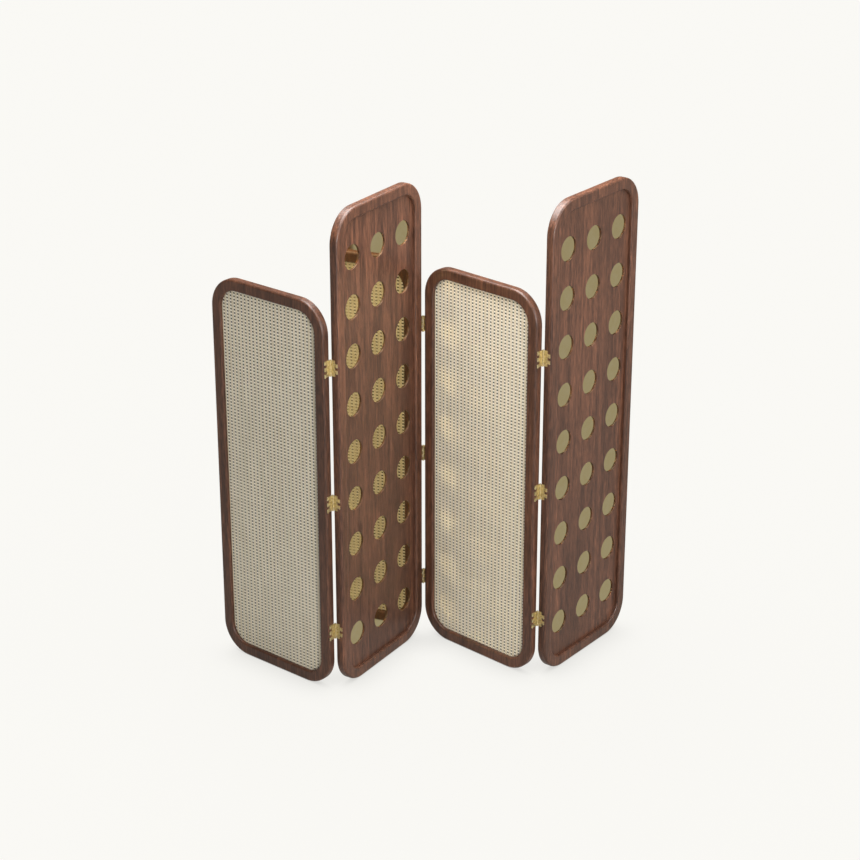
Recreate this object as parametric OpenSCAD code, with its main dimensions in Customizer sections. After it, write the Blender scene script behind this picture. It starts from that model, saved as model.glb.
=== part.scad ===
// Four-panel folding screen. Two short panels carry woven cane, two tall ones
// carry rows of brass discs. Panels are counted from the left, seen from the
// front. The front faces -Y, the panels stand on z = 0.

/* [Panels] */
// Width of every panel
panel_w = 500; // [420:1:620]
// Height of the cane panels, the first and the third
short_h = 1400; // [1000:5:1500]
// Height of the disc panels, the second and the fourth
tall_h = 1700; // [1500:5:1900]
// Thickness of every panel
panel_t = 30; // [28:0.5:40]
// Radius of a panel's corners, seen from the front
corner_r = 110; // [80:1:140]

/* [Frame] */
// Width of the stiles and rails, seen from the front
frame_w = 40; // [34:0.5:60]
// Rounding of the outer front arris
front_outer_r = 8; // [3:0.5:9]
// Rounding of the outer back arris
back_outer_r = 5; // [2:0.5:8]
// Rounding of the inner front arris
front_inner_r = 6; // [2:0.5:9]
// Rounding of the inner back arris
back_inner_r = 3; // [1:0.5:4]
// Depth of the filling below the frame's front face
front_recess = 12; // [9:0.5:14]
// Depth of the groove that holds the filling
groove_d = 8; // [5:0.5:12]
// Play of the filling at the bottom of its groove
groove_play = 0.5; // [0.2:0.1:2]
// Distance from the corner's arc to the joint between stile and rail
seam_offset = 8; // [4:1:20]

/* [Tenons] */
// Length of a loose tenon
tenon_l = 50; // [30:1:70]
// Height of a loose tenon
tenon_h = 18; // [12:0.5:20]
// Thickness of a loose tenon
tenon_t = 10; // [8:0.5:12]
// Distance from the rail's outer edge to the tenon
tenon_inset = 9; // [9:0.5:12]
// Glue gap around a tenon
tenon_gap = 0.1; // [0.05:0.05:0.3]

/* [Disc boards] */
// Thickness of the front board, which sets how deep the discs lie
front_board_t = 4; // [3:0.5:6]
// Thickness of the back board
back_board_t = 8; // [6:0.5:9]
// Diameter of the round holes
hole_d = 85; // [50:1:100]
// Distance between the columns of holes
column_pitch = 147.4; // [120:0.1:160]
// Number of columns
columns = 3; // [1:1:3]
// Number of rows, spread evenly over the height
rows = 9; // [3:1:9]
// Thickness of a brass disc
disc_t = 1.5; // [1:0.1:2.5]
// Overlap of a disc behind the edge of its hole
disc_lip = 3.5; // [2:0.5:6]
// Play around a disc in its seat
disc_play = 0.2; // [0.1:0.05:0.5]

/* [Cane filling] */
// Thickness of a sheet of woven cane
cane_t = 1.5; // [1:0.1:2.5]

/* [Fold] */
// Angle of the first panel from the X axis
first_heading = -39.5; // [-60:0.5:-20]
// Angle between the first and second panels
fold_12 = 82.9; // [60:0.1:120]
// Angle between the second and third panels
fold_23 = 79.5; // [60:0.1:120]
// Angle between the third and fourth panels
fold_34 = 84.9; // [60:0.1:120]

/* [Hinges] */
// Distance from the short panels' top and bottom to the middle of the nearest hinge
hinge_inset = 220; // [180:5:300]
// Distance from a panel's edge to the pin's axis
pin_out = 3.2; // [3:0.1:5]
// Distance from the panel's face to the pin's axis
pin_off = 0.7; // [0.4:0.1:2]
// Diameter of the pin
pin_d = 3; // [2:0.1:3.6]
// Running clearance around the pin, on the radius
pin_play = 0.05; // [0.02:0.01:0.08]
// Outer diameter of a knuckle
knuckle_d = 5.6; // [5:0.1:5.8]
// Length of one knuckle with its share of the gap
slot_h = 11.2; // [8:0.1:14]
// Gap between two knuckles
knuckle_gap = 0.5; // [0.3:0.1:1]
// Thickness of a leaf
leaf_t = 2.4; // [1.5:0.1:2.6]
// Width of a leaf's plate, from the pin's axis
plate_w = 16.5; // [15:0.5:20]
// Distance from the pin's axis to the tip of a spare knuckle
leaf_reach = 28.5; // [24:0.5:30]
// Height of the cut in a right leaf's spare knuckle
tip_cut_h = 2.5; // [1:0.1:4]
// Diameter of the pin's button ends
button_d = 5; // [4:0.1:5.6]
// Thickness of a button end
button_t = 1.2; // [0.6:0.1:2]

/* [Hinge screws] */
// Diameter of a screw's shank
screw_d = 3; // [2:0.1:3.6]
// Diameter of a screw's head
head_d = 6.4; // [5:0.1:7]
// Length of a screw
screw_l = 16; // [10:1:25]
// Distance from the pin's axis to the screws
screw_in = 11.5; // [10:0.1:13]
// Distance between a leaf's two screws
screw_pitch = 34; // [24:0.5:38]
// Depth of the cone under a screw's head
head_cone = 1.9; // [1.5:0.1:2]
// Gap around a screw in its holes
screw_gap = 0.06; // [0.03:0.01:0.15]
// Width of the slot in a screw's head
driver_slot_w = 0.8; // [0.5:0.1:1.2]
// Depth of the slot in a screw's head
driver_slot_d = 0.8; // [0.4:0.1:1.2]

/* [Hidden] */
$fn = 64;
cut = 1;                                  // overrun of cutting shapes
slots = 5;                                // knuckles in one hinge
groove_w = panel_t - front_recess - back_recess();
groove_y = -panel_t / 2 + front_recess;   // front wall of the groove
opening_r = corner_r - frame_w;
seam = corner_r + seam_offset;            // from the panel's edge to the joint
fill_edge = frame_w - groove_d + groove_play;
fill_r = corner_r - fill_edge;
row_pitch = tall_h / (rows + 1);          // also of the first row from the floor
disc_d = hole_d + 2 * disc_lip;
core_t = groove_w - 2 * cane_t;
pin_from_mid = panel_t / 2 + pin_off;
hinge_h = slots * slot_h;
hinge_z = [hinge_inset, short_h / 2, short_h - hinge_inset];
button_gap = knuckle_gap / 2;
tip_r = knuckle_d / 2;
tip_y = leaf_reach - tip_r;

panel_heights = [short_h, tall_h, short_h, tall_h];
folds = [fold_12, fold_23, fold_34];
levels = ["low", "middle", "high"];
vertices = ["12", "23", "34"];
sides = ["left", "right"];

function back_recess() = panel_t - front_recess - front_board_t - back_board_t;

// Side of a panel's mid-plane on which the pin of each vertex lies: 1 is the back.
function pin_side(v) = v % 2 == 0 ? 1 : -1;

// Heading of each panel; the folds turn left and right in turn.
function heading(i) = i == 0 ? first_heading : heading(i - 1) + pin_side(i - 1) * (180 - folds[i - 1]);
function along(a) = [cos(a), sin(a)];
function across(a) = [-sin(a), cos(a)];

// Pin of vertex v, reached from the panel on its left.
function pin_at(v) = start(v) + (panel_w + pin_out) * along(heading(v))
    + pin_side(v) * pin_from_mid * across(heading(v));

// Middle of the left edge of panel i.
function start(i) = i == 0 ? [0, 0] : pin_at(i - 1) + pin_out * along(heading(i))
    - pin_side(i - 1) * pin_from_mid * across(heading(i));

// Point of panel i at (x, y) of its own plane.
function on_plan(i, x, y) = start(i) + x * along(heading(i)) + y * across(heading(i));

// Circles that bound the plan: [centre, radius].
function arris_circles(i) = [
    for (x = [0, 1], back = [0, 1])
        let (r = back == 1 ? back_outer_r : front_outer_r)
        [on_plan(i, x == 0 ? r : panel_w - r, (back == 1 ? 1 : -1) * (panel_t / 2 - r)), r]];
function tip_circles(v) = [
    for (end = [0, 1])
        [on_plan(v + end, end == 0 ? panel_w + pin_out : -pin_out,
            pin_side(v) * (pin_from_mid - tip_y)), tip_r]];
plan = [for (i = [0:3]) each arris_circles(i), for (v = [0:2]) each tip_circles(v)];
plan_low = [for (k = [0, 1]) min([for (c = plan) c[0][k] - c[1]])];
plan_high = [for (k = [0, 1]) max([for (c = plan) c[0][k] + c[1]])];
plan_mid = (plan_low + plan_high) / 2;

walnut = "#5b4236";
brass = "#b09a55";
cane = "#c3b893";
core_colour = "#3a2a22";

// ---- Places ----

// Puts a shape of panel i's own frame in its place: x along it, y to its back.
module at_panel(i) {
    translate([start(i)[0] - plan_mid[0], start(i)[1] - plan_mid[1], 0])
        rotate([0, 0, heading(i)]) children();
}

// Puts a hinge part at vertex v, on the panel of the given end. In the hinge's
// frame x runs out of the panel's edge and y from the pin across that edge.
module at_hinge(v, end, z) {
    at_panel(v + end) translate([end == 0 ? panel_w + pin_out : -pin_out, pin_side(v) * pin_from_mid, z])
        mirror([end, 0, 0]) mirror([0, pin_side(v) > 0 ? 1 : 0, 0]) children();
}

// ---- Frame ----

module arris(x, y, r, sx, sy) {
    translate([x, y]) scale([sx, sy]) translate([-cut, -cut]) difference() {
        square(r + cut);
        translate([r + cut, r + cut]) circle(r);
    }
}

// Cross-section of stile and rail: x from the outer edge in, y to the back.
module frame_section() {
    difference() {
        translate([0, -panel_t / 2]) square([frame_w, panel_t]);
        arris(0, -panel_t / 2, front_outer_r, 1, 1);
        arris(0, panel_t / 2, back_outer_r, 1, -1);
        arris(frame_w, -panel_t / 2, front_inner_r, -1, 1);
        arris(frame_w, panel_t / 2, back_inner_r, -1, -1);
        translate([frame_w - groove_d, groove_y]) square([groove_d + cut, groove_w]);
    }
}

// Rail along x at the floor, from x0 to x1.
module straight_rail(x0, x1) {
    translate([x0, 0, 0]) rotate([90, 0, 90]) linear_extrude(x1 - x0)
        mirror([1, 0]) rotate(90) frame_section();
}

// Quarter ring at the lower left corner, with its stub up to the joint.
module lower_corner() {
    translate([corner_r, 0, corner_r]) rotate([90, 0, 0]) rotate([0, 0, 180])
        rotate_extrude(angle = 90, $fn = 128) translate([corner_r, 0]) mirror([1, 0])
        mirror([0, 1]) frame_section();
    straight_rail(corner_r, seam);
}

module tenon_block(gap) {
    translate([seam - tenon_l / 2 - gap, groove_y - gap, tenon_inset - gap])
        cube([tenon_l + 2 * gap, tenon_t + 2 * gap, tenon_h + 2 * gap]);
}

// Repeats a lower left corner's shape at the top.
module top_and_bottom(h) {
    children();
    translate([0, 0, h]) mirror([0, 0, 1]) children();
}

module pilot_holes(i, end) {
    v = end == 0 ? i - 1 : i;
    if (v >= 0 && v <= 2)
        for (z = hinge_z, s = [-1, 1])
            translate([end == 0 ? 0 : panel_w,
                pin_side(v) * (pin_from_mid - screw_in), z + s * screw_pitch / 2])
                rotate([0, end == 0 ? 90 : -90, 0]) translate([0, 0, -cut])
                cylinder(h = screw_l + cut, d = screw_d + 2 * screw_gap, $fn = 24);
}

module plain_stile(h) {
    difference() {
        union() {
            translate([0, 0, corner_r]) linear_extrude(h - 2 * corner_r) frame_section();
            top_and_bottom(h) lower_corner();
        }
        top_and_bottom(h) tenon_block(tenon_gap);
    }
}

module stile_left(i) {
    color(walnut) at_panel(i) difference() {
        plain_stile(panel_heights[i]);
        pilot_holes(i, 0);
    }
}

module stile_right(i) {
    color(walnut) at_panel(i) difference() {
        translate([panel_w, 0, 0]) mirror([1, 0, 0]) plain_stile(panel_heights[i]);
        pilot_holes(i, 1);
    }
}

module both_ends() {
    children();
    translate([panel_w, 0, 0]) mirror([1, 0, 0]) children();
}

module rail_bottom(i) {
    color(walnut) at_panel(i) difference() {
        straight_rail(seam, panel_w - seam);
        both_ends() tenon_block(tenon_gap);
    }
}

module rail_top(i) {
    color(walnut) at_panel(i) translate([0, 0, panel_heights[i]]) mirror([0, 0, 1]) difference() {
        straight_rail(seam, panel_w - seam);
        both_ends() tenon_block(tenon_gap);
    }
}

module tenons(i) {
    color(walnut) at_panel(i) top_and_bottom(panel_heights[i]) both_ends() tenon_block(0);
}

// ---- Fillings ----

// Plate with round corners that fills the groove, from depth y on.
module filling(h, y, t) {
    translate([0, y + t, 0]) rotate([90, 0, 0]) linear_extrude(t) difference() {
        translate([fill_edge, fill_edge]) square([panel_w - 2 * fill_edge, h - 2 * fill_edge]);
        for (right = [0, 1], top = [0, 1])
            arris(right * panel_w + (1 - 2 * right) * fill_edge, top * h + (1 - 2 * top) * fill_edge,
                fill_r, 1 - 2 * right, 1 - 2 * top, $fn = 128);
    }
}

module cane_front(i) {
    color(cane) at_panel(i) filling(panel_heights[i], groove_y, cane_t);
}

module core(i) {
    color(core_colour) at_panel(i) filling(panel_heights[i], groove_y + cane_t, core_t);
}

module cane_back(i) {
    color(cane) at_panel(i) filling(panel_heights[i], groove_y + groove_w - cane_t, cane_t);
}

// Cylinders at every hole's place, from depth y on.
module at_holes(d, y, t) {
    for (c = [0:columns - 1], r = [1:rows])
        translate([panel_w / 2 + (c - (columns - 1) / 2) * column_pitch, y + t, r * row_pitch])
            rotate([90, 0, 0]) cylinder(h = t, d = d, $fn = 96);
}

module board_front(i) {
    color(walnut) at_panel(i) difference() {
        filling(panel_heights[i], groove_y, front_board_t);
        at_holes(hole_d, groove_y - cut, front_board_t + 2 * cut);
    }
}

module board_back(i) {
    y = groove_y + front_board_t;
    color(walnut) at_panel(i) difference() {
        filling(panel_heights[i], y, back_board_t);
        at_holes(hole_d, y - cut, back_board_t + 2 * cut);
        at_holes(disc_d + 2 * disc_play, y - cut, disc_t + cut);
    }
}

module discs(i) {
    color(brass) at_panel(i) at_holes(disc_d, groove_y + front_board_t, disc_t);
}

// ---- Hinges ----

module slot_box(k, x0, x1, y0, y1) {
    translate([x0, y0, (k - slots / 2) * slot_h + knuckle_gap / 2])
        cube([x1 - x0, y1 - y0, slot_h - knuckle_gap]);
}

module knuckle(k, y) {
    translate([0, y, (k - slots / 2) * slot_h + knuckle_gap / 2])
        cylinder(h = slot_h - knuckle_gap, d = knuckle_d, $fn = 48);
}

module tip_cut(k) {
    translate([-pin_out - cut, tip_y - tip_r, (k + 0.5 - slots / 2) * slot_h - tip_cut_h / 2])
        cube([pin_out + tip_r + 2 * cut, 2 * tip_r + cut, tip_cut_h]);
}

// Countersunk hole in the leaf, bored along x.
module leaf_hole(z) {
    translate([-pin_out, screw_in, z]) rotate([0, 90, 0]) {
        translate([0, 0, -cut]) cylinder(h = leaf_t + 2 * cut, d = screw_d + 2 * screw_gap, $fn = 24);
        translate([0, 0, leaf_t - head_cone]) cylinder(h = head_cone, d1 = screw_d + 2 * screw_gap,
            d2 = head_d + 2 * screw_gap, $fn = 32);
        translate([0, 0, leaf_t]) cylinder(h = cut, d = head_d + 2 * screw_gap, $fn = 32);
    }
}

// Leaf on the panel's edge: its knuckles hold the pin at y = 0, its spare ones
// stand at the other arris. The leaf of the left panel has the odd slots.
module leaf(end) {
    plate_x = -pin_out + leaf_t;
    bore = pin_d + 2 * pin_play;
    difference() {
        union() {
            translate([-pin_out, knuckle_d / 2 + knuckle_gap, -hinge_h / 2 + knuckle_gap / 2])
                cube([leaf_t, plate_w - knuckle_d / 2 - knuckle_gap, hinge_h - knuckle_gap]);
            for (k = [end:2:slots - 1]) {
                slot_box(k, -pin_out, plate_x, 0, tip_y);
                knuckle(k, 0);
                knuckle(k, tip_y);
            }
        }
        for (y = [0, tip_y])
            translate([0, y, -hinge_h / 2]) cylinder(h = hinge_h, d = bore, $fn = 32);
        for (z = [-1, 1]) leaf_hole(z * screw_pitch / 2);
        if (end == 1)
            for (k = [end:2:slots - 1]) tip_cut(k);
    }
}

module hinge_leaf(v, level, end) {
    color(brass) at_hinge(v, end, hinge_z[level]) leaf(end);
}

module pins(v) {
    color(brass) for (z = hinge_z) at_hinge(v, 0, z) {
        pin_l = hinge_h + 2 * button_gap;
        translate([0, 0, -pin_l / 2]) cylinder(h = pin_l, d = pin_d, $fn = 32);
        for (s = [0, 1])
            mirror([0, 0, s]) translate([0, 0, pin_l / 2]) cylinder(h = button_t, d = button_d, $fn = 32);
    }
}

// Countersunk screw with its head's face at x = 0 and a plain slot.
module screw() {
    rotate([0, -90, 0]) difference() {
        union() {
            cylinder(h = head_cone, d1 = head_d, d2 = screw_d, $fn = 32);
            cylinder(h = screw_l, d = screw_d, $fn = 24);
        }
        translate([-head_d, -driver_slot_w / 2, -cut])
            cube([2 * head_d, driver_slot_w, driver_slot_d + cut]);
    }
}

module screws(i) {
    color(brass) for (end = [0, 1]) {
        v = end == 0 ? i : i - 1;
        if (v >= 0 && v <= 2)
            for (z = hinge_z, s = [-1, 1]) at_hinge(v, end, z + s * screw_pitch / 2)
                translate([-pin_out + leaf_t, screw_in, 0]) screw();
    }
}

// ---- Nodes ----

for (i = [0:3]) {
    stile_left(i);
    stile_right(i);
    rail_top(i);
    rail_bottom(i);
    tenons(i);
    screws(i);
}
for (i = [0, 2]) {
    cane_front(i);
    core(i);
    cane_back(i);
}
for (i = [1, 3]) {
    board_front(i);
    discs(i);
    board_back(i);
}
for (v = [0:2]) {
    pins(v);
    for (level = [0:2], end = [0, 1])
        hinge_leaf(v, level, end);
}
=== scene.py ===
"""Looks of a four-panel folding screen: oiled walnut frames, two short panels of
woven cane and two tall panels with rows of polished brass discs."""

import math

import bpy
import numpy as np
from mathutils import Euler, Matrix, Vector


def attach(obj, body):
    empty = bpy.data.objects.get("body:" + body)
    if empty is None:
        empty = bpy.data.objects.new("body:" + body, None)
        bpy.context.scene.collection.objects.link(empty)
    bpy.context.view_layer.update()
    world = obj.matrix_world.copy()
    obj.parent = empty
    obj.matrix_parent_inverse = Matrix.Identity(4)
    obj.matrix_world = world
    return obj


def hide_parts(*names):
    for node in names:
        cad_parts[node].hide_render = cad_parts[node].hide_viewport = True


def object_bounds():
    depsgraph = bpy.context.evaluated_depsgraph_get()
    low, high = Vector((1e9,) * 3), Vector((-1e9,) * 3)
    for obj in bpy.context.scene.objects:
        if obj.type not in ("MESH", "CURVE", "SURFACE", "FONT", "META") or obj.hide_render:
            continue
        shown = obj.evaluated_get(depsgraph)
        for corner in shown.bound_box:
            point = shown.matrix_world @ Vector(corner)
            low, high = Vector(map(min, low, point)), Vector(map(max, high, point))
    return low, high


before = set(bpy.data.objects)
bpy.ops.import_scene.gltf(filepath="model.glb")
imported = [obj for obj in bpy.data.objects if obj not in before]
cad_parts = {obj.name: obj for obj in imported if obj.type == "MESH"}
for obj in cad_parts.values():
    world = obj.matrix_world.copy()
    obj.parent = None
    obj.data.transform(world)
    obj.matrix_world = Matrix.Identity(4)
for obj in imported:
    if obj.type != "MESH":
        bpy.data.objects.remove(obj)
CAD_LOW, CAD_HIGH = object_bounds()

bl_info = {
    "name": "Folding screen with cane and brass",
    "version": (1, 0, 0),
    "blender": (4, 5, 0),
    "location": "View3D > Sidebar > Folding screen",
    "description": "Dresses a four-panel folding screen in walnut, woven cane and brass",
    "category": "Object",
}

PANELS = (1, 2, 3, 4)
CANE_PANELS = (1, 3)
DISC_PANELS = (2, 4)

# Points of a node whose heights differ by less than this lie on one level.
SAME_LEVEL = 0.00001

# Edges of a node that turn by more than this are eased.
SHARP_EDGE = math.radians(50.0)
# Width of the eased edge of the hinges.
HINGE_ARRIS = 0.0002

# Distance between the middles of a pair's two strands, in strand widths.
PAIR_SPACING = 1.01
# Depth of the highest crown below the surface of the flat CAD sheet.
BELOW_SURFACE = 0.00005
# Crossings nearer than this to a strand's end are left out.
END_ROOM = 0.0005
# Crown of an upright strand, and of a level one where it crosses, as shares of the full one.
UPRIGHT_CROWN = 0.5
CROSSING_CROWN = 0.3
# Edges of a strand that turn by more than this stay sharp.
CREASE = math.radians(60.0)

# Brightness of white paper per watt of a lamp a metre away that faces it. A lamp as wide
# as these gives a little less than a point would.
LAMP_TO_PAPER = 0.95 / math.pi**2
# Share of its colour with which the paper throws light back at the screen.
PLAIN_PAPER = 0.5
# Share of the paper's reflected colour that metal and gloss show beyond the paper.
BEYOND_PAPER = 0.15
# Reach of the contact shadow, and where the paper looks for the screen: to the right, so
# that the shadow lies on the screen's left, away from the main lamps.
CONTACT_REACH = 0.17
CONTACT_SIDE = (0.83, -0.17, 0.53)
CONTACT_SAMPLES = 16

UP = (0.0, 0.0, 1.0)
ROOM_COLOUR = (1.0, 0.99, 0.97, 1.0)
# Half the size of the floor, and how far it lies below the screen's feet.
FLOOR_REACH = 40.0
FLOOR_GAP = 0.0005
# Width of the camera's sensor in millimetres, and how far it sees.
SENSOR_WIDTH = 36.0
VIEW_END = 200.0


# ---- Where the panels stand ----


class Plan:
    """A flat upright node's own frame: middle, direction along its width, its front.

    corner is the radius of its round top corners."""

    def __init__(self, node):
        points = np.array([v.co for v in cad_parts[node].data.vertices], float)
        flat = points[:, :2]
        spread = np.cov((flat - flat.mean(0)).T)
        along = np.linalg.eigh(spread)[1][:, 1]
        self.along = along if along[0] > 0 else -along
        self.front = np.array([self.along[1], -self.along[0]])
        across = flat @ self.along
        depth = flat @ self.front
        self.half_width = (across.max() - across.min()) / 2
        self.half_depth = (depth.max() - depth.min()) / 2
        self.middle = (across.max() + across.min()) / 2 * self.along
        self.middle = self.middle + (depth.max() + depth.min()) / 2 * self.front
        self.low, self.high = points[:, 2].min(), points[:, 2].max()
        self.heading = math.atan2(self.along[1], self.along[0])
        top = across[points[:, 2] > self.high - SAME_LEVEL]
        self.corner = self.half_width - (top.max() - top.min()) / 2

    def place(self, u, v, z):
        """Points given by u along the width, v towards the front and z up."""
        u, v, z = np.broadcast_arrays(u, v, z)
        flat = self.middle + u[..., None] * self.along + v[..., None] * self.front
        return np.concatenate([flat, z[..., None]], -1)


# ---- Settings ----


class WalnutSettings(bpy.types.PropertyGroup):
    """Colours and finish of the walnut."""

    light: bpy.props.FloatVectorProperty(
        name="Light figure",
        description="Colour of the wood between the dark bands",
        subtype="COLOR",
        size=3,
        min=0.0,
        max=1.0,
        default=(0.157, 0.0637, 0.0340),
    )
    middle: bpy.props.FloatVectorProperty(
        name="Middle figure",
        description="Main colour of the wood",
        subtype="COLOR",
        size=3,
        min=0.0,
        max=1.0,
        default=(0.093, 0.0380, 0.0208),
    )
    dark: bpy.props.FloatVectorProperty(
        name="Dark figure",
        description="Colour of the dark bands and growth lines",
        subtype="COLOR",
        size=3,
        min=0.0,
        max=1.0,
        default=(0.043, 0.0173, 0.0100),
    )
    roughness: bpy.props.FloatProperty(
        name="Roughness",
        description="Middle roughness of the oiled surface",
        min=0.1,
        max=1.0,
        default=0.38,
    )
    arris: bpy.props.FloatProperty(
        name="Eased edge",
        description="Width of the eased edge at joints and holes",
        subtype="DISTANCE",
        unit="LENGTH",
        min=0.0,
        max=0.002,
        default=0.0005,
    )


class CaneSettings(bpy.types.PropertyGroup):
    """Sizes and colours of the woven cane."""

    cell_width: bpy.props.FloatProperty(
        name="Cell width",
        description="Distance between two pairs of upright strands",
        subtype="DISTANCE",
        unit="LENGTH",
        min=0.006,
        max=0.04,
        default=0.0162,
    )
    cell_height: bpy.props.FloatProperty(
        name="Cell height",
        description="Distance between two pairs of level strands",
        subtype="DISTANCE",
        unit="LENGTH",
        min=0.006,
        max=0.04,
        default=0.0117,
    )
    upright_width: bpy.props.FloatProperty(
        name="Upright strand",
        description="Width of an upright strand",
        subtype="DISTANCE",
        unit="LENGTH",
        min=0.001,
        max=0.01,
        default=0.0047,
    )
    level_width: bpy.props.FloatProperty(
        name="Level strand",
        description="Width of a level strand",
        subtype="DISTANCE",
        unit="LENGTH",
        min=0.001,
        max=0.01,
        default=0.0031,
    )
    lift: bpy.props.FloatProperty(
        name="Lift",
        description="How far a strand rises and sinks from the middle of the sheet",
        subtype="DISTANCE",
        unit="LENGTH",
        min=0.0001,
        max=0.002,
        default=0.00025,
    )
    crown: bpy.props.FloatProperty(
        name="Crown",
        description="How much a strand bulges between its edges",
        subtype="DISTANCE",
        unit="LENGTH",
        min=0.0001,
        max=0.002,
        default=0.00060,
    )
    colour: bpy.props.FloatVectorProperty(
        name="Upright strands",
        description="Main colour of the upright strands",
        subtype="COLOR",
        size=3,
        min=0.0,
        max=1.0,
        default=(0.750, 0.668, 0.507),
    )
    # Painted highlight: the pale colour that the level strands take where they lie bare between
    # the pairs of upright strands.
    level: bpy.props.FloatVectorProperty(
        name="Level strands",
        description="Main colour of the level strands",
        subtype="COLOR",
        size=3,
        min=0.0,
        max=1.0,
        default=(0.91, 0.86, 0.76),
    )
    core: bpy.props.FloatVectorProperty(
        name="Core",
        description="Stain of the core that shows through the holes",
        subtype="COLOR",
        size=3,
        min=0.0,
        max=1.0,
        default=(0.034, 0.026, 0.019),
    )


class BrassSettings(bpy.types.PropertyGroup):
    """Colours and finish of the brass."""

    disc: bpy.props.FloatVectorProperty(
        name="Discs",
        description="Colour of the polished discs",
        subtype="COLOR",
        size=3,
        min=0.0,
        max=1.0,
        default=(0.68, 0.575, 0.325),
    )
    disc_roughness: bpy.props.FloatProperty(
        name="Disc roughness",
        description="Roughness of the polished discs",
        min=0.0,
        max=1.0,
        default=0.04,
    )
    hinge: bpy.props.FloatVectorProperty(
        name="Hinges",
        description="Colour of the hinges",
        subtype="COLOR",
        size=3,
        min=0.0,
        max=1.0,
        default=(0.88, 0.75, 0.43),
    )
    hinge_roughness: bpy.props.FloatProperty(
        name="Hinge roughness",
        description="Roughness of the hinges",
        min=0.0,
        max=1.0,
        default=0.30,
    )


class StageSettings(bpy.types.PropertyGroup):
    """Camera and studio."""

    camera_place: bpy.props.FloatVectorProperty(
        name="Camera",
        description="Place of the camera",
        subtype="TRANSLATION",
        unit="LENGTH",
        size=3,
        default=(0.0139, -6.7994, 3.7829),
    )
    camera_tilt: bpy.props.FloatProperty(
        name="Tilt",
        description="Angle of the view below the horizon",
        subtype="ANGLE",
        unit="ROTATION",
        default=math.radians(23.2365),
    )
    lens: bpy.props.FloatProperty(
        name="Lens",
        description="Focal length on a sensor 36 mm wide, in millimetres",
        min=10.0,
        max=300.0,
        default=91.6325,
    )
    paper: bpy.props.FloatVectorProperty(
        name="Paper",
        description="Colour of the paper floor and background",
        subtype="COLOR",
        size=3,
        min=0.0,
        max=1.0,
        default=(0.955, 0.945, 0.91),
    )
    reflected: bpy.props.FloatVectorProperty(
        name="Paper in metal",
        description="Colour of the paper as metal and gloss show it",
        subtype="COLOR",
        size=3,
        min=0.0,
        max=1.0,
        default=(0.455, 0.446, 0.415),
    )
    shadow: bpy.props.FloatProperty(
        name="Shadow",
        description="How much of the paper's brightness a shadow can take away",
        min=0.0,
        max=1.0,
        default=0.02,
    )
    contact: bpy.props.FloatProperty(
        name="Contact shadow",
        description="How much darker the paper is where the screen stands on it",
        min=0.0,
        max=1.0,
        default=0.32,
    )
    sky: bpy.props.FloatProperty(
        name="Room light",
        description="Strength of the even light from all around",
        min=0.0,
        max=3.0,
        default=0.075,
    )
    lamp_power: bpy.props.FloatProperty(
        name="Lamp power",
        description="Factor on the power of all lamps",
        min=0.0,
        max=10.0,
        default=1.0,
    )

    def lamps(self):
        """Each soft lamp: name, turn and rise in degrees, distance, size, power in watts.

        A turn of zero is to the right of the screen, and one of -90 in front of it."""
        k = self.lamp_power
        return (
            ("overhead", 0.0, 90.0, 1.8, 1.3, 62.0 * k),
            ("right", -12.0, 40.0, 5.0, 2.4, 116.0 * k),
            ("right_low", -30.0, 20.0, 5.0, 2.0, 50.0 * k),
            ("front", -71.0, 12.0, 5.5, 1.6, 200.0 * k),
            ("left", -120.0, 55.0, 4.0, 2.0, 30.0 * k),
            ("back", 100.0, 50.0, 4.5, 2.4, 160.0 * k),
        )


# ---- Node helpers ----


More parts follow.
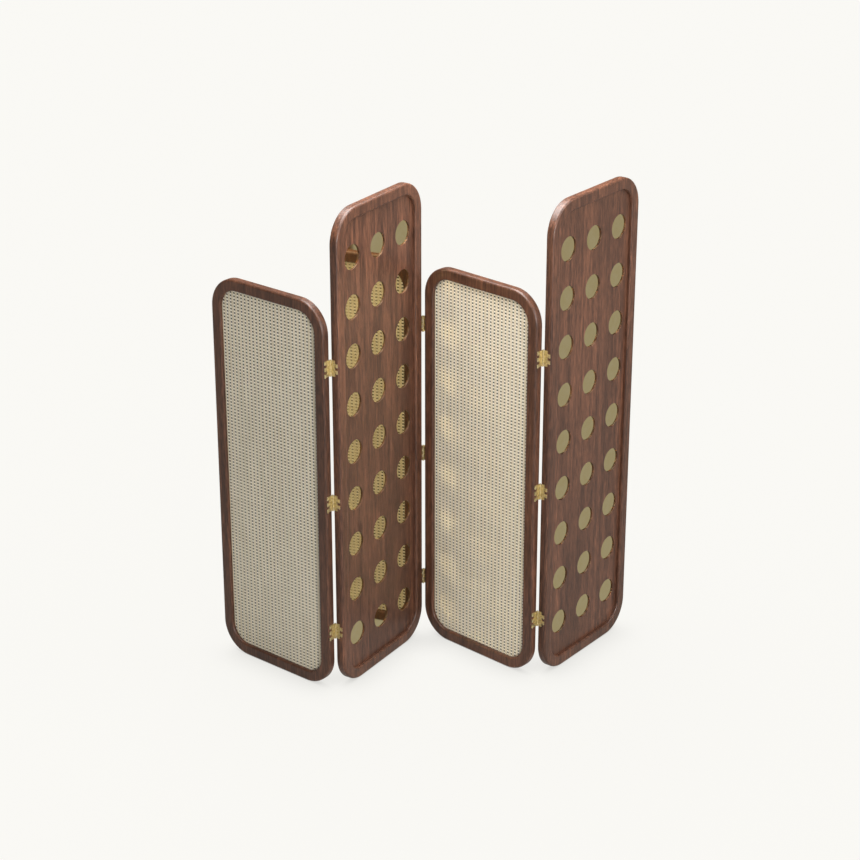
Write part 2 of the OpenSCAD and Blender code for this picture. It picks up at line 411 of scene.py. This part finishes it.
class Nodes:
    """Short calls that build the node tree of a material or a world."""

    def __init__(self, block, shader="Principled BSDF", output="Material Output"):
        block.use_nodes = True
        self.block = block
        self.tree = block.node_tree
        self.shader = self.tree.nodes[shader]
        self.output = self.tree.nodes[output]

    def add(self, kind, **settings):
        node = self.tree.nodes.new(kind)
        for key, value in settings.items():
            setattr(node, key, value)
        return node

    def put(self, source, target):
        """Links another node's output to an input, or sets the input to a plain value."""
        if hasattr(source, "type") and hasattr(source, "is_output"):
            self.tree.links.new(source, target)
        else:
            target.default_value = source

    def math(self, operation, a, b=0.0, clamp=False):
        node = self.add("ShaderNodeMath", operation=operation, use_clamp=clamp)
        self.put(a, node.inputs[0])
        self.put(b, node.inputs[1])
        return node.outputs[0]

    def vector(self, operation, a, b):
        node = self.add("ShaderNodeVectorMath", operation=operation)
        self.put(a, node.inputs[0])
        self.put(b, node.inputs["Scale" if operation == "SCALE" else 1])
        return node.outputs["Value" if operation == "DOT_PRODUCT" else "Vector"]

    def mix(self, amount, a, b, blend="MIX"):
        node = self.add("ShaderNodeMix", data_type="RGBA", blend_type=blend)
        self.put(amount, node.inputs[0])
        self.put(a if hasattr(a, "is_output") else (*a, 1.0), node.inputs[6])
        self.put(b if hasattr(b, "is_output") else (*b, 1.0), node.inputs[7])
        return node.outputs[2]

    def shaded(self, colour, factor, amount=1.0):
        """Multiplies a colour by a grey factor."""
        grey = self.add("ShaderNodeCombineColor")
        for socket in grey.inputs[:3]:
            self.put(factor, socket)
        return self.mix(amount, colour, grey.outputs[0], "MULTIPLY")

    def span(self, value, low, high, to_low=0.0, to_high=1.0):
        """Eases a value from one range to another and holds it at the ends."""
        node = self.add("ShaderNodeMapRange", interpolation_type="SMOOTHSTEP")
        self.put(value, node.inputs[0])
        for socket, number in zip(node.inputs[1:5], (low, high, to_low, to_high)):
            socket.default_value = number
        return node.outputs[0]

    def place(self):
        """Coordinates of the piece itself, in metres, as it stands at rest."""
        return self.add("ShaderNodeTexCoord").outputs["Object"]

    def turned(self, heading):
        """Coordinates of a panel's own frame: x along its width, z up."""
        place = self.place()
        turn = self.add("ShaderNodeVectorRotate", rotation_type="Z_AXIS")
        self.put(place, turn.inputs["Vector"])
        turn.inputs["Angle"].default_value = -heading
        return turn.outputs[0]

    def stretched(self, vector, scale, shift=(0.0, 0.0, 0.0)):
        node = self.add("ShaderNodeMapping")
        self.put(vector, node.inputs["Vector"])
        node.inputs["Scale"].default_value = scale
        node.inputs["Location"].default_value = shift
        return node.outputs[0]

    def noise(self, vector, detail=2.0, rough=0.5):
        node = self.add("ShaderNodeTexNoise")
        self.put(vector, node.inputs["Vector"])
        node.inputs["Scale"].default_value = 1.0
        node.inputs["Detail"].default_value = detail
        node.inputs["Roughness"].default_value = rough
        node.inputs["Distortion"].default_value = 0.0
        return node.outputs["Fac"]

    def bump(self, height, distance, strength):
        node = self.add("ShaderNodeBump")
        node.inputs["Strength"].default_value = strength
        node.inputs["Distance"].default_value = distance
        self.put(height, node.inputs["Height"])
        return node.outputs[0]

    def emission(self, colour, strength=1.0):
        node = self.add("ShaderNodeEmission")
        node.inputs["Color"].default_value = (*colour, 1.0)
        self.put(strength, node.inputs["Strength"])
        return node.outputs[0]

    def mix_shader(self, amount, first, second):
        node = self.add("ShaderNodeMixShader")
        for source, socket in zip((amount, first, second), node.inputs):
            self.put(source, socket)
        return node.outputs[0]

    def finish(self, colour, roughness, normal):
        """Gives the material's shader its looks."""
        self.put(colour, self.shader.inputs["Base Color"])
        self.put(roughness, self.shader.inputs["Roughness"])
        self.put(normal, self.shader.inputs["Normal"])
        return self.block


# ---- Materials ----


def walnut(name, heading, seed):
    """Oiled walnut with upright grain; seed moves the figure to another plank."""
    s = bpy.context.scene.screen_walnut
    n = Nodes(bpy.data.materials.new(name))
    place = n.turned(heading)
    shift = (seed * 3.7, seed * 1.9, seed * 5.3)

    def figure(at, across, along, detail, rough=0.5):
        """Noise drawn out along the grain: its scale across the grain and along it."""
        return n.noise(n.stretched(at, (across, across, along), shift), detail, rough)

    tone = figure(place, 11.0, 1.1, 2.0)
    sway = figure(place, 4.0, 1.4, 1.0)
    swayed = n.vector("ADD", place, n.vector("SCALE", (0.02, 0.02, 0.0), sway))
    rings = figure(swayed, 70.0, 2.2, 3.0, 0.62)
    streaks = figure(swayed, 125.0, 9.0, 2.0, 0.6)
    flecks = figure(place, 330.0, 26.0, 2.0, 0.6)
    fibres = figure(place, 1100.0, 24.0, 2.0, 0.6)
    pores = figure(place, 1700.0, 75.0, 1.0, 0.5)
    colour = n.mix(n.span(rings, 0.34, 0.66), tuple(s.dark), tuple(s.light))
    colour = n.mix(n.span(tone, 0.25, 0.75, 0.70, 0.45), colour, tuple(s.middle))
    for pattern, low, high, darker, lighter in (
        (streaks, 0.30, 0.70, 0.80, 1.20),
        (tone, 0.30, 0.72, 0.80, 1.16),
        (flecks, 0.32, 0.68, 0.62, 1.40),
        (fibres, 0.30, 0.70, 0.74, 1.24),
    ):
        colour = n.shaded(colour, n.span(pattern, low, high, darker, lighter))
    pore = n.span(pores, 0.60, 0.68)
    colour = n.mix(n.math("MULTIPLY", pore, 0.5), colour, (0.014, 0.0055, 0.003))
    rough = n.math("ADD", n.math("MULTIPLY", fibres, 0.16), s.roughness - 0.08)
    rough = n.math("ADD", rough, n.math("MULTIPLY", pore, 0.12), clamp=True)
    relief = n.math("SUBTRACT", n.math("MULTIPLY", fibres, 0.4), pore)
    n.shader.inputs["IOR"].default_value = 1.52
    return n.finish(colour, rough, n.bump(relief, 0.00012, 0.5))


def cane(name, plan, upright):
    """Split cane: fine fibres along the strand, tone that changes from strand to strand.

    Level strands carry a painted highlight: they turn paler between the pairs of upright ones,
    where they lie bare, and next to the crossings they keep the darker colour as painted shade."""
    s = bpy.context.scene.screen_cane
    n = Nodes(bpy.data.materials.new(name))
    place = n.turned(plan.heading)
    if upright:
        strand_scale, fibre_scale = (260.0, 260.0, 5.2), (2600.0, 2600.0, 60.0)
    else:
        strand_scale, fibre_scale = (5.2, 260.0, 260.0), (60.0, 2600.0, 2600.0)
    strands = n.noise(n.stretched(place, strand_scale), 1.0)
    fibres = n.noise(n.stretched(place, fibre_scale), 2.0, 0.6)
    patches = n.noise(n.stretched(place, (9.0, 9.0, 7.0)), 2.0)
    knots = n.noise(n.stretched(place, (70.0, 70.0, 70.0)), 2.0)
    main = tuple(s.colour)
    pale = tuple(min(0.95, c * 1.1) for c in main)
    deep = tuple(c * k for c, k in zip(main, (0.86, 0.83, 0.76)))
    colour = n.mix(n.span(strands, 0.35, 0.65), deep, pale)
    colour = n.mix(n.span(patches, 0.40, 0.70, 0.0, 0.35), colour, main)
    colour = n.mix(n.span(knots, 0.62, 0.74, 0.0, 0.45), colour, deep)
    # Painted highlight and shade: the level strands' pale colour where they lie bare between the
    # upright pairs, and their darker colour next to the crossings.
    if not upright:
        axes = n.add("ShaderNodeSeparateXYZ")
        n.put(place, axes.inputs[0])
        start = plan.middle @ plan.along + cells_over(2 * plan.half_width, s.cell_width)[1]
        cell = n.math("DIVIDE", n.math("SUBTRACT", axes.outputs[0], start), s.cell_width)
        apart = n.math("ABSOLUTE", n.math("SUBTRACT", n.math("FRACT", cell), 0.5))
        bare = s.upright_width / s.cell_width
        colour = n.mix(n.span(apart, bare - 0.01, bare + 0.09), colour, tuple(s.level))
    colour = n.shaded(colour, n.span(fibres, 0.25, 0.75, 0.88, 1.05), 0.8)
    rough = n.span(fibres, 0.2, 0.8, 0.30, 0.48)
    n.shader.inputs["IOR"].default_value = 1.45
    return n.finish(colour, rough, n.bump(fibres, 0.00008, 0.6))


def dark_core():
    """Stained board behind the weave."""
    n = Nodes(bpy.data.materials.new("dark_core"))
    grain = n.noise(n.stretched(n.place(), (400.0, 400.0, 20.0)), 2.0)
    base = tuple(bpy.context.scene.screen_cane.core)
    colour = n.mix(grain, tuple(c * 0.7 for c in base), tuple(c * 1.3 for c in base))
    return n.finish(colour, n.span(grain, 0.2, 0.8, 0.75, 0.95), n.bump(grain, 0.0001, 0.4))


def beech():
    """Planed beech of the hidden tenons."""
    n = Nodes(bpy.data.materials.new("beech"))
    grain = n.noise(n.stretched(n.place(), (500.0, 500.0, 40.0)), 2.0)
    colour = n.mix(grain, (0.42, 0.27, 0.15), (0.62, 0.44, 0.28))
    return n.finish(colour, n.span(grain, 0.2, 0.8, 0.55, 0.75), n.bump(grain, 0.0001, 0.4))


def polished_brass():
    """Mirror-like brass with faint polishing marks."""
    s = bpy.context.scene.screen_brass
    n = Nodes(bpy.data.materials.new("polished_brass"))
    place = n.place()
    haze = n.noise(n.stretched(place, (35.0, 35.0, 35.0)), 3.0, 0.6)
    marks = n.noise(n.stretched(place, (900.0, 900.0, 120.0)), 2.0, 0.6)
    warm = tuple(c * k for c, k in zip(s.disc, (0.97, 0.95, 0.88)))
    colour = n.mix(n.span(haze, 0.3, 0.7), tuple(s.disc), warm)
    rough = n.math("ADD", n.span(haze, 0.3, 0.7, 0.0, 0.03), s.disc_roughness)
    rough = n.math("ADD", rough, n.span(marks, 0.66, 0.74, 0.0, 0.03))
    n.shader.inputs["Metallic"].default_value = 1.0
    return n.finish(colour, rough, n.bump(haze, 0.00002, 0.3))


def hinge_brass():
    """Satin brass, a little dull and brown away from the rubbed places."""
    s = bpy.context.scene.screen_brass
    n = Nodes(bpy.data.materials.new("hinge_brass"))
    place = n.place()
    tarnish = n.noise(n.stretched(place, (180.0, 180.0, 120.0)), 4.0, 0.65)
    brushed = n.noise(n.stretched(place, (2500.0, 2500.0, 90.0)), 2.0, 0.6)
    dull = tuple(c * k for c, k in zip(s.hinge, (0.62, 0.56, 0.45)))
    colour = n.mix(n.span(tarnish, 0.38, 0.68), tuple(s.hinge), dull)
    rough = n.math("ADD", n.span(tarnish, 0.3, 0.7, 0.0, 0.16), s.hinge_roughness)
    rough = n.math("ADD", rough, n.math("MULTIPLY", brushed, 0.10))
    n.shader.inputs["Metallic"].default_value = 1.0
    return n.finish(colour, rough, n.bump(brushed, 0.00004, 0.5))


def dress(node, material, edge=0.0):
    """Gives a CAD node its material and, if asked, slightly eased edges."""
    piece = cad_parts[node]
    piece.data.materials.clear()
    piece.data.materials.append(material)
    if edge > 0.0:
        ease = piece.modifiers.new("eased_edges", "BEVEL")
        ease.width = edge
        ease.segments = 2
        ease.limit_method = "ANGLE"
        ease.angle_limit = SHARP_EDGE
        ease.harden_normals = False


# ---- Woven cane ----


def cells_over(length, cell):
    """How many whole cells cover a length, and where the first starts, from its middle."""
    count = math.ceil(length / cell)
    return count, -count * cell / 2


def pair_lines(count, start, cell, width):
    """Middle lines of the strands of this width, two to each cell."""
    apart = width / 2 * PAIR_SPACING
    return np.array([start + (c + 0.5) * cell + k * apart for c in range(count) for k in (-1, 1)])


def strand_reach(distance, half, corner):
    """Half length of a strand whose far edge lies this far from the sheet's middle.

    half holds half the sheet's size, across the strand and along it. Outside the sheet
    the answer is None."""
    beyond = max(0.0, distance - (half[0] - corner))
    if beyond >= corner:
        return None
    return half[1] - corner + math.sqrt(corner * corner - beyond * beyond)


def crossings(lines, middle, reach, turn):
    """The lines that a strand crosses, each with 1 where it passes over and -1 under."""
    inside = np.abs(lines - middle) < reach - END_ROOM
    over = np.where((np.nonzero(inside)[0] + turn) % 2 == 0, 1.0, -1.0)
    return lines[inside], over


class Weave:
    """Gathers the strands of one side. Each is closed: an arch of two faces over a flat
    underside, with its ends capped."""

    def __init__(self, plan, front, s):
        self.plan = plan
        self.front = front
        self.face = plan.half_depth - s.lift - s.crown - BELOW_SURFACE
        self.points, self.faces, self.slots = [], [], []

    def strand(self, line, at, rise, crown, width, upright):
        """Adds the strand on one middle line, with its rise and crown at each place."""
        start = sum(len(ring) for ring in self.points)
        last = start + 3 * (len(at) - 1)
        arch = width / 2 * np.array([-1.0, 0.0, 1.0])
        out = self.face + rise[:, None] + crown[:, None] * np.array([0.0, 1.0, 0.0])
        if not self.front:
            out = -out
        if upright:
            ring = self.plan.place(line + arch, out, at[:, None])
        else:
            ring = self.plan.place(at[:, None], out, line - arch)
        self.points.append(ring.reshape(-1, 3))
        for a in range(start, last, 3):
            self.faces.append((a, a + 1, a + 4, a + 3))
            self.faces.append((a + 1, a + 2, a + 5, a + 4))
            self.faces.append((a, a + 3, a + 5, a + 2))
        self.faces.append((start, start + 2, start + 1))
        self.faces.append((last, last + 1, last + 2))
        self.slots.extend([0 if upright else 1] * (3 * len(at) - 1))

    def piece(self, name):
        """The gathered strands as one object, uprights in its first slot, levels next."""
        faces = self.faces if self.front else [f[::-1] for f in self.faces]
        mesh = bpy.data.meshes.new(name)
        mesh.from_pydata(np.concatenate(self.points).tolist(), [], faces)
        mesh.polygons.foreach_set("material_index", self.slots)
        mesh.shade_smooth()
        mesh.set_sharp_from_angle(angle=CREASE)
        piece = bpy.data.objects.new(name, mesh)
        bpy.context.scene.collection.objects.link(piece)
        return piece


def woven_sheet(name, plan, front, s):
    """Builds one side's weave out of strands that pass over and under each other.

    Each cell has two upright and two level strands, woven one over, one under."""
    weave = Weave(plan, front, s)
    columns, left = cells_over(2 * plan.half_width, s.cell_width)
    rows, foot = cells_over(plan.high - plan.low, s.cell_height)
    middle_z = (plan.low + plan.high) / 2
    half_w, half_h = plan.half_width, (plan.high - plan.low) / 2
    upright_lines = pair_lines(columns, left, s.cell_width, s.upright_width)
    level_lines = pair_lines(rows, middle_z + foot, s.cell_height, s.level_width)

    for j, x in enumerate(upright_lines):
        reach = strand_reach(abs(x) + s.upright_width / 2, (half_w, half_h), plan.corner)
        if reach is None:
            continue
        at, over = crossings(level_lines, middle_z, reach, j)
        at = np.concatenate([[middle_z - reach], at, [middle_z + reach]])
        rise = np.concatenate([[0.0], s.lift * over, [0.0]])
        crown = np.full(len(at), UPRIGHT_CROWN * s.crown)
        weave.strand(x, at, rise, crown, s.upright_width, upright=True)

    gaps = left + s.cell_width * np.arange(columns + 1)
    for k, z in enumerate(level_lines):
        distance = abs(z - middle_z) + s.level_width / 2
        reach = strand_reach(distance, (half_h, half_w), plan.corner)
        if reach is None:
            continue
        at, over = crossings(upright_lines, 0.0, reach, k + 1)
        bare = gaps[np.abs(gaps) < reach - END_ROOM]
        rise = np.concatenate([s.lift * over, np.full(len(bare), s.lift), [0.0, 0.0]])
        crown = np.full(len(rise), CROSSING_CROWN)
        crown[len(at) : len(at) + len(bare)] = 1.0
        at = np.concatenate([at, bare, [-reach, reach]])
        order = np.argsort(at)
        crown = s.crown * crown[order]
        weave.strand(z, at[order], rise[order], crown, s.level_width, upright=False)
    return weave.piece(name)


# ---- Stage ----


def lamp_place(aim, turn, rise, distance):
    """Where a lamp stands that is turned and raised about the point it is aimed at."""
    turn, rise = math.radians(turn), math.radians(rise)
    flat = distance * math.cos(rise)
    return aim + Vector((flat * math.cos(turn), flat * math.sin(turn), distance * math.sin(rise)))


def square_lamp(name, place, aim, size, power):
    """A soft square lamp that faces the point it is aimed at."""
    data = bpy.data.lights.new(name, "AREA")
    data.shape = "SQUARE"
    data.size = size
    data.energy = power
    lamp = bpy.data.objects.new(name, data)
    lamp.location = place
    lamp.rotation_euler = (aim - place).to_track_quat("-Z", "Y").to_euler()
    lamp.visible_camera = False
    bpy.context.scene.collection.objects.link(lamp)
    return lamp


def paper_floor():
    """A wide level sheet just below the feet of the screen."""
    z = CAD_LOW.z - FLOOR_GAP
    around = ((-1, -1), (1, -1), (1, 1), (-1, 1))
    corners = [(x * FLOOR_REACH, y * FLOOR_REACH, z) for x, y in around]
    mesh = bpy.data.meshes.new("floor")
    mesh.from_pydata(corners, [], [(0, 1, 2, 3)])
    floor = bpy.data.objects.new("floor", mesh)
    bpy.context.scene.collection.objects.link(floor)
    return floor


def light_on_paper(n, lamps, sky):
    """How bright the lamps and the room make white paper, at each place on it."""
    place = n.place()
    light = sky
    for lamp, aim, power in lamps:
        away = n.vector("SUBTRACT", tuple(lamp), place)
        fall = n.vector("DOT_PRODUCT", away, UP)
        facing = n.vector("DOT_PRODUCT", away, tuple((lamp - aim).normalized()))
        square = n.vector("DOT_PRODUCT", away, away)
        both = n.math("MULTIPLY", fall, facing)
        fade = n.math("DIVIDE", both, n.math("MULTIPLY", square, square))
        light = n.math("ADD", light, n.math("MULTIPLY", fade, power * LAMP_TO_PAPER))
    return light


def paper_material(s, lamps):
    """White paper that keeps a faint shadow, as even under the lamps as a lit backdrop.

    What the camera sees is a little lamplight and a glow that makes up the rest; metal
    shows the paper at its reflected strength, and other light falls on plain paper."""
    n = Nodes(bpy.data.materials.new("paper"))
    colour = tuple(s.paper)
    light = light_on_paper(n, lamps, s.sky)
    n.shader.inputs["Base Color"].default_value = (*(s.shadow * c for c in colour), 1.0)
    n.shader.inputs["Roughness"].default_value = 1.0
    n.shader.inputs["Specular IOR Level"].default_value = 0.0
    rest = n.math("SUBTRACT", 1.0, n.math("MULTIPLY", light, s.shadow), clamp=True)
    near = n.add("ShaderNodeAmbientOcclusion", samples=CONTACT_SAMPLES)
    near.inputs["Distance"].default_value = CONTACT_REACH
    near.inputs["Normal"].default_value = CONTACT_SIDE
    open_air = n.span(near.outputs["AO"], 0.0, 1.0, 1.0 - s.contact, 1.0)
    glow = n.emission(colour, n.math("MULTIPLY", rest, open_air))
    seen = n.add("ShaderNodeAddShader")
    n.put(n.shader.outputs[0], seen.inputs[0])
    n.put(glow, seen.inputs[1])
    plain = n.add("ShaderNodeBsdfDiffuse")
    plain.inputs["Color"].default_value = (*(PLAIN_PAPER * c for c in colour), 1.0)
    path = n.add("ShaderNodeLightPath")
    sharp = n.math("MAXIMUM", path.outputs["Is Glossy Ray"], path.outputs["Is Transmission Ray"])
    others = n.mix_shader(sharp, plain.outputs[0], n.emission(tuple(s.reflected)))
    which = n.mix_shader(path.outputs["Is Camera Ray"], others, seen.outputs[0])
    n.put(which, n.output.inputs["Surface"])
    return n.block


def studio_world(s):
    """Even room light, which the camera and clear things show as white as the paper."""
    n = Nodes(bpy.data.worlds.new("studio"), "Background", "World Output")
    n.shader.inputs["Color"].default_value = ROOM_COLOUR
    n.shader.inputs["Strength"].default_value = s.sky
    path = n.add("ShaderNodeLightPath")
    clear = n.math("MAXIMUM", path.outputs["Is Camera Ray"], path.outputs["Is Transmission Ray"])
    seen = n.shader.outputs[0]
    for ray, colour in (
        (path.outputs["Is Glossy Ray"], [BEYOND_PAPER * c for c in s.reflected]),
        (clear, s.paper),
    ):
        backdrop = n.add("ShaderNodeBackground")
        backdrop.inputs["Color"].default_value = (*colour, 1.0)
        seen = n.mix_shader(ray, seen, backdrop.outputs[0])
    n.put(seen, n.output.inputs["Surface"])
    return n.block


def camera_of(s):
    """The camera of the front view."""
    data = bpy.data.cameras.new("camera")
    data.sensor_width = SENSOR_WIDTH
    data.lens = s.lens
    data.clip_end = VIEW_END
    camera = bpy.data.objects.new("camera", data)
    camera.location = s.camera_place
    camera.rotation_euler = Euler((math.pi / 2 - s.camera_tilt, 0.0, 0.0))
    bpy.context.scene.collection.objects.link(camera)
    return camera


# ---- Operators ----


class SCREEN_OT_frames(bpy.types.Operator):
    """Dresses the stiles and rails in walnut and the hidden tenons in beech"""

    bl_idname = "screen.frames"
    bl_label = "Walnut frames"

    def execute(self, context):
        edge = context.scene.screen_walnut.arris
        hidden = beech()
        for i in PANELS:
            heading = Plan(f"rail_bottom_{i}").heading
            for k, part in enumerate(("stile_left", "stile_right", "rail_top", "rail_bottom")):
                wood = walnut(f"walnut_{part}_{i}", heading, seed=4 * i + k)
                dress(f"{part}_{i}", wood, edge)
            dress(f"tenons_{i}", hidden)
        return {"FINISHED"}


class SCREEN_OT_disc_boards(bpy.types.Operator):
    """Dresses the perforated boards of the tall panels and their brass discs"""

    bl_idname = "screen.disc_boards"
    bl_label = "Boards and discs"

    def execute(self, context):
        edge = context.scene.screen_walnut.arris
        brass = polished_brass()
        for i in DISC_PANELS:
            heading = Plan(f"rail_bottom_{i}").heading
            for board, seed in (("board_front", 30 + i), ("board_back", 40 + i)):
                dress(f"{board}_{i}", walnut(f"walnut_{board}_{i}", heading, seed), edge)
            dress(f"discs_{i}", brass)
        return {"FINISHED"}


class SCREEN_OT_cane_panels(bpy.types.Operator):
    """Weaves the cane of the short panels, on both sides of their dark cores"""

    bl_idname = "screen.cane_panels"
    bl_label = "Woven cane"

    def execute(self, context):
        s = context.scene.screen_cane
        core = dark_core()
        for i in CANE_PANELS:
            sheet = Plan(f"cane_front_{i}")
            uprights = cane(f"cane_upright_{i}", sheet, upright=True)
            levels = cane(f"cane_level_{i}", sheet, upright=False)
            dress(f"core_{i}", core)
            for side in ("front", "back"):
                node = f"cane_{side}_{i}"
                piece = woven_sheet(f"woven_{node}", Plan(node), side == "front", s)
                piece.data.materials.append(uprights)
                piece.data.materials.append(levels)
                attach(piece, f"panel_{i}")
                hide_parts(node)
        return {"FINISHED"}


class SCREEN_OT_hinges(bpy.types.Operator):
    """Dresses the hinge leaves, pins and screws in brass"""

    bl_idname = "screen.hinges"
    bl_label = "Brass hinges"

    def execute(self, context):
        brass = hinge_brass()
        found = [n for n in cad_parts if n.startswith(("leaf_", "pins_", "screws_"))]
        if not found:
            raise RuntimeError("the frame has no hinges")
        for node in sorted(found):
            dress(node, brass, HINGE_ARRIS)
        return {"FINISHED"}


class SCREEN_OT_stage(bpy.types.Operator):
    """Makes the paper floor, the soft studio light and the camera"""

    bl_idname = "screen.stage"
    bl_label = "Stage"

    def execute(self, context):
        s = context.scene.screen_stage
        floor = paper_floor()
        aim = Vector((0.0, 0.0, (CAD_LOW.z + CAD_HIGH.z) / 2))
        lamps = []
        for name, turn, rise, distance, size, power in s.lamps():
            place = lamp_place(aim, turn, rise, distance)
            lamp = square_lamp(name, place, aim, size, power)
            # In gloss the back lamp would draw white lines along the tall panels' tops.
            lamp.visible_glossy = name != "back"
            lamps.append((place, aim, power))
        floor.data.materials.append(paper_material(s, lamps))
        context.scene.world = studio_world(s)
        context.scene.camera = camera_of(s)
        context.scene.view_settings.view_transform = "Standard"
        context.scene.cycles.blur_glossy = 0.0
        return {"FINISHED"}


class SCREEN_PT_panel(bpy.types.Panel):
    """Lists the steps that dress the screen"""

    bl_idname = "SCREEN_PT_panel"
    bl_label = "Folding screen"
    bl_space_type = "VIEW_3D"
    bl_region_type = "UI"
    bl_category = "Folding screen"

    def draw(self, context):
        for group in SETTINGS:
            settings = getattr(context.scene, group)
            box = self.layout.box()
            for key in settings.__annotations__:
                box.prop(settings, key)
        for operator in OPERATORS:
            self.layout.operator(operator.bl_idname)


SETTINGS = {
    "screen_walnut": WalnutSettings,
    "screen_cane": CaneSettings,
    "screen_brass": BrassSettings,
    "screen_stage": StageSettings,
}
OPERATORS = (
    SCREEN_OT_frames,
    SCREEN_OT_disc_boards,
    SCREEN_OT_cane_panels,
    SCREEN_OT_hinges,
    SCREEN_OT_stage,
)


def register():
    for group, settings in SETTINGS.items():
        bpy.utils.register_class(settings)
        setattr(bpy.types.Scene, group, bpy.props.PointerProperty(type=settings))
    for cls in (*OPERATORS, SCREEN_PT_panel):
        bpy.utils.register_class(cls)


def unregister():
    for cls in (SCREEN_PT_panel, *reversed(OPERATORS)):
        bpy.utils.unregister_class(cls)
    for group, settings in reversed(SETTINGS.items()):
        delattr(bpy.types.Scene, group)
        bpy.utils.unregister_class(settings)


def main():
    """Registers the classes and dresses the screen."""
    register()
    bpy.ops.screen.frames()
    bpy.ops.screen.disc_boards()
    bpy.ops.screen.cane_panels()
    bpy.ops.screen.hinges()
    bpy.ops.screen.stage()
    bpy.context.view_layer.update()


if __name__ == "__main__":
    main()
